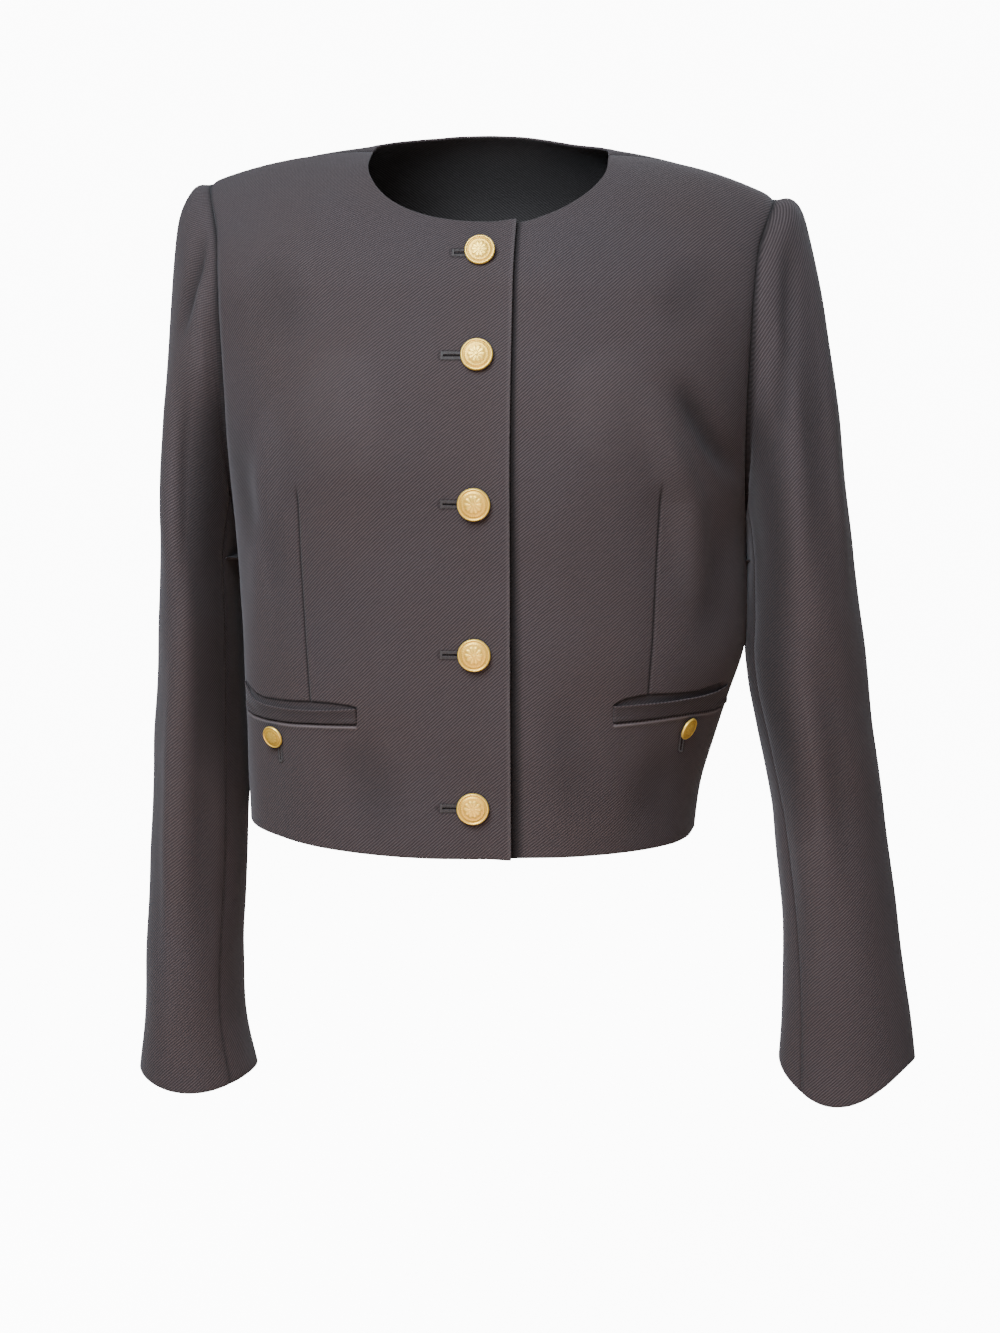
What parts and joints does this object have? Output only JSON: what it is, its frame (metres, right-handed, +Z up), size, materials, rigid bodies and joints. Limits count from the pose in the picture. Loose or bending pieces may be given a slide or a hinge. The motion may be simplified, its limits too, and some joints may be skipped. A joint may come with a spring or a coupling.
{
  "type": "cropped jacket",
  "caption": "Collarless cropped jacket in dark wool twill with long set-in sleeves, a buttoned front and welt pockets, hollow as worn.",
  "frame": {"origin": "middle of the neck opening, on the line between the neck ends of the two shoulder seams, where the wearer's shoulders hold the jacket", "axes": "+Z up along the wearer, +X towards the wearer's left, the front faces -Y"},
  "size_m": [0.525, 0.2479, 0.6368],
  "materials": {
    "wool_twill": "matt dark navy-black wool twill with a fine diagonal rib",
    "gold_metal": "gold-coloured metal, semi-polished, darker in the hollows"
  },
  "bodies": {
    "root": {"front_right": "wool_twill", "front_left": "wool_twill", "back": "wool_twill", "sleeve_upper_right": "wool_twill", "sleeve_under_right": "wool_twill", "sleeve_upper_left": "wool_twill", "sleeve_under_left": "wool_twill", "welt_right": "wool_twill", "welt_left": "wool_twill", "button_front_1": "gold_metal", "button_front_2": "gold_metal", "button_front_3": "gold_metal", "button_front_4": "gold_metal", "button_front_5": "gold_metal", "button_pocket_right": "gold_metal", "button_pocket_left": "gold_metal"}
  },
  "joints": []
}
